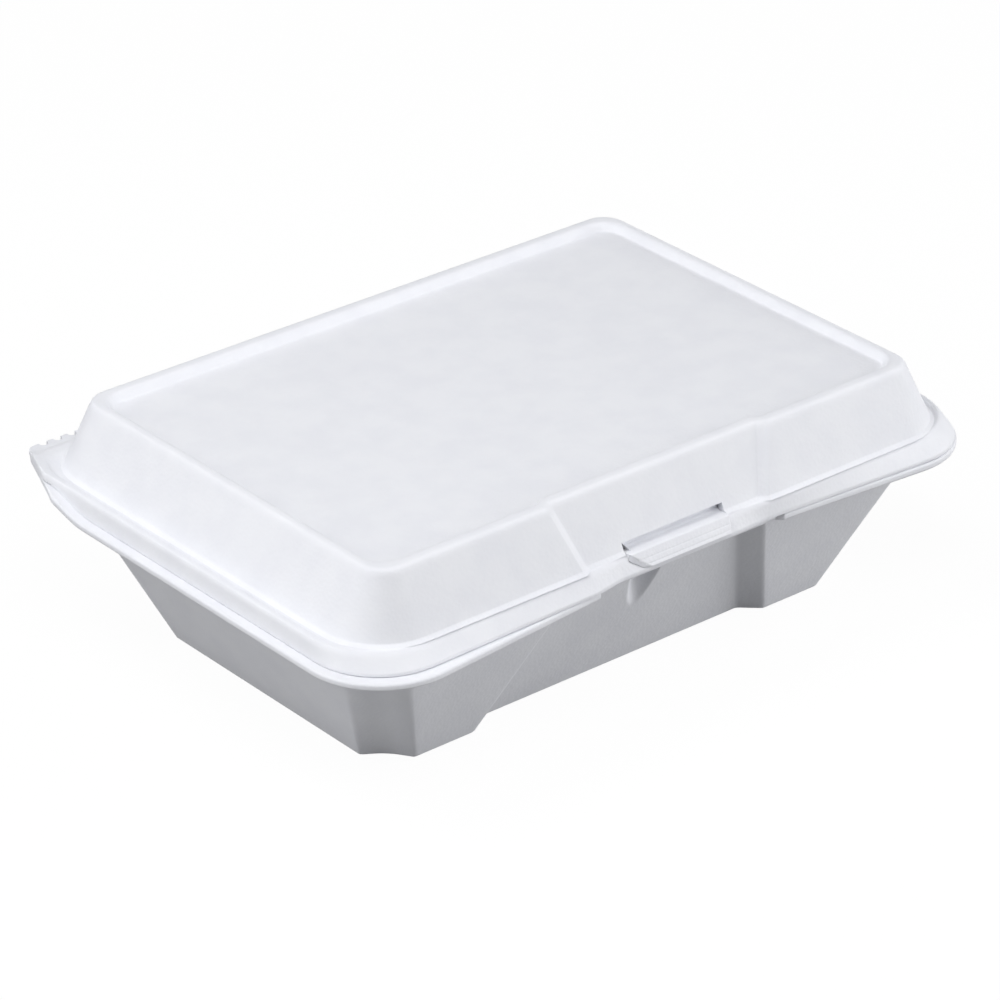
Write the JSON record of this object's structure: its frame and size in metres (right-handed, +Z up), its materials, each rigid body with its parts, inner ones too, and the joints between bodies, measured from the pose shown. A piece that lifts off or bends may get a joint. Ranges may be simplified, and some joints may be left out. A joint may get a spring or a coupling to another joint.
{
  "type": "foam clamshell container",
  "caption": "One-compartment hinged foam food container with a recessed front, a tuck-in latch tongue and a perforated back hinge that lets the lid open flat",
  "frame": {"origin": "middle of the closed container's bounding box, at the tray's resting plane", "axes": "+X along the front edge, +Y from the latch to the hinge, +Z up"},
  "size_m": [0.236, 0.1712, 0.0728],
  "materials": {
    "foam": "matte white foam skin"
  },
  "bodies": {
    "tray": {"tray": "foam"},
    "lid": {"lid": "foam"}
  },
  "joints": [
    {"name": "lid_hinge", "type": "hinge", "parent": "tray", "child": "lid", "pos_m": [0, 0.0856, 0.0512], "axis": [-1, 0, 0], "range_deg": [0, 180]}
  ]
}
